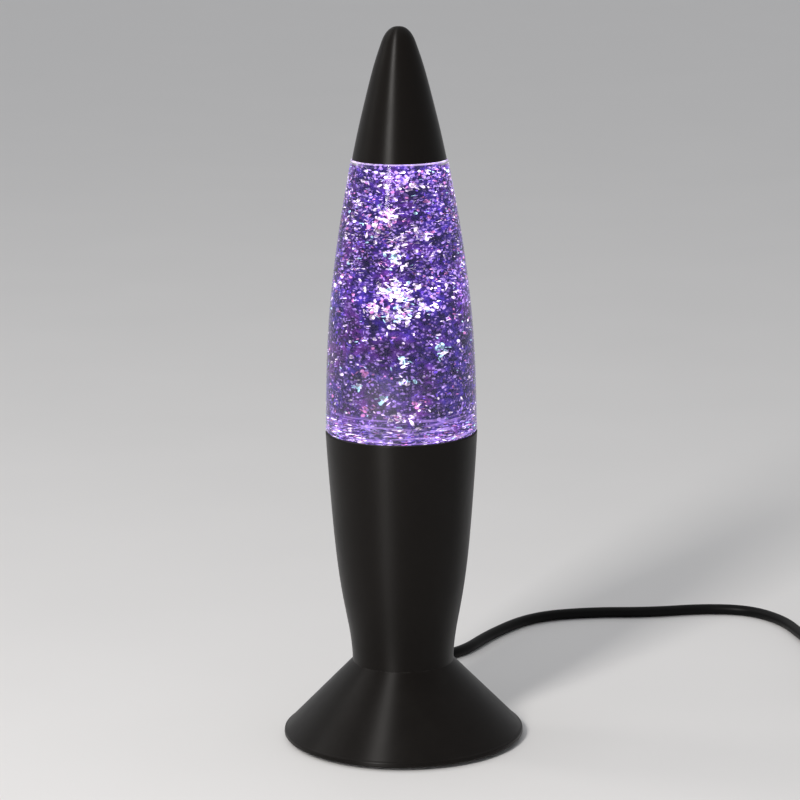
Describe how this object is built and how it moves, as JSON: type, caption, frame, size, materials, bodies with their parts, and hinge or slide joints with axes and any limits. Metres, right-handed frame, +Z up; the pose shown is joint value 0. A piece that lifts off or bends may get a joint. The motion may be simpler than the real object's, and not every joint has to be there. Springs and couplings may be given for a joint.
{
  "type": "glitter lamp",
  "caption": "Rocket-shaped glitter lamp: flared black foot and cup, glass bottle of glowing violet liquid with glitter, bullet cap, mains cord with in-line switch and plug.",
  "frame": {"origin": "on the table, under the lamp's axis", "axes": "+Z up along the lamp's axis; the cord leaves the back of the foot towards +Y; the front faces -Y"},
  "size_m": [0.3958, 0.2807, 0.36],
  "materials": {
    "black_paint": "satin black lacquer over spun metal, slight orange peel",
    "black_plastic": "fine moulded texture",
    "steel": "zinc plated",
    "rubber": "matte black",
    "brass": "bright",
    "holder_plastic": "moulded heat-proof resin",
    "bulb_mirror": "silvered inside, clear front",
    "bulb_metal": "rolled, bright",
    "black_glass": "black glass insulator",
    "clear_glass": "clear",
    "tungsten": "dull grey wire",
    "bottle_glass": "clear, polished",
    "violet_liquid": "clear violet liquid",
    "glitter": "foil flakes, silver and violet",
    "crown_steel": "tinplate",
    "liner": "soft liner",
    "cord": "smooth black sheath, slight sheen",
    "tie": "black strap",
    "brown_wire": "brown insulation",
    "blue_wire": "blue insulation",
    "rocker_plastic": "polished black",
    "rubber_plug": "moulded soft black",
    "pin_metal": "nickel plated"
  },
  "bodies": {
    "base": {"foot": "black_paint", "cup": "black_paint", "plate_pillars": "black_plastic", "base_plate": "steel", "rubber_feet": "rubber", "plate_screws": "steel", "bottle_gasket": "rubber", "threaded_tube": "steel", "washer": "steel", "lock_nut": "brass", "holder_base": "holder_plastic", "holder_body": "holder_plastic", "holder_shell": "brass", "holder_contact": "brass", "holder_terminals": "brass", "terminal_screws": "steel", "strain_relief": "rubber", "cord_lead_in": "cord", "clamp_base": "black_plastic", "clamp_bridge": "black_plastic", "clamp_screws": "steel", "live_wire": "brown_wire", "neutral_wire": "blue_wire", "cord_tube": "cord", "cord_link": "cord", "cord_tail": "cord", "cord_coil": "cord", "coil_tie": "tie", "switch_base": "black_plastic", "switch_cover": "black_plastic", "switch_pin": "steel", "switch_contacts": "brass", "switch_screws": "steel", "plug_body": "rubber_plug", "plug_pins": "pin_metal", "plug_pin_sleeves": "black_plastic"},
    "bulb": {"bulb_glass": "bulb_mirror", "bulb_screw_shell": "bulb_metal", "bulb_insulator": "black_glass", "bulb_contact": "bulb_metal", "bulb_stem": "clear_glass", "bulb_leads": "bulb_metal", "bulb_filament": "tungsten"},
    "bottle_unit": {"bottle": "bottle_glass", "liquid": "violet_liquid", "glitter": "glitter", "crown_closure": "crown_steel", "crown_liner": "liner"},
    "cap_shell": {"cap": "black_paint"},
    "rocker": {"switch_rocker": "rocker_plastic"}
  },
  "joints": [
    {"name": "bottle_lift", "type": "slide", "parent": "base", "child": "bottle_unit", "axis": [0, 0, 1], "range_m": [0, 0.06]},
    {"name": "cap_lift", "type": "slide", "parent": "bottle_unit", "child": "cap_shell", "axis": [0, 0, 1], "range_m": [0, 0.07]},
    {"name": "bulb_unscrew", "type": "hinge", "parent": "base", "child": "bulb", "pos_m": [0, 0, 0.063], "axis": [0, 0, 1], "range_deg": [0, 2160]},
    {"name": "switch_rock", "type": "hinge", "parent": "base", "child": "rocker", "pos_m": [0.24, 0.066, 0.0133], "axis": [1, 0, 0], "range_deg": [-12, 0]}
  ]
}
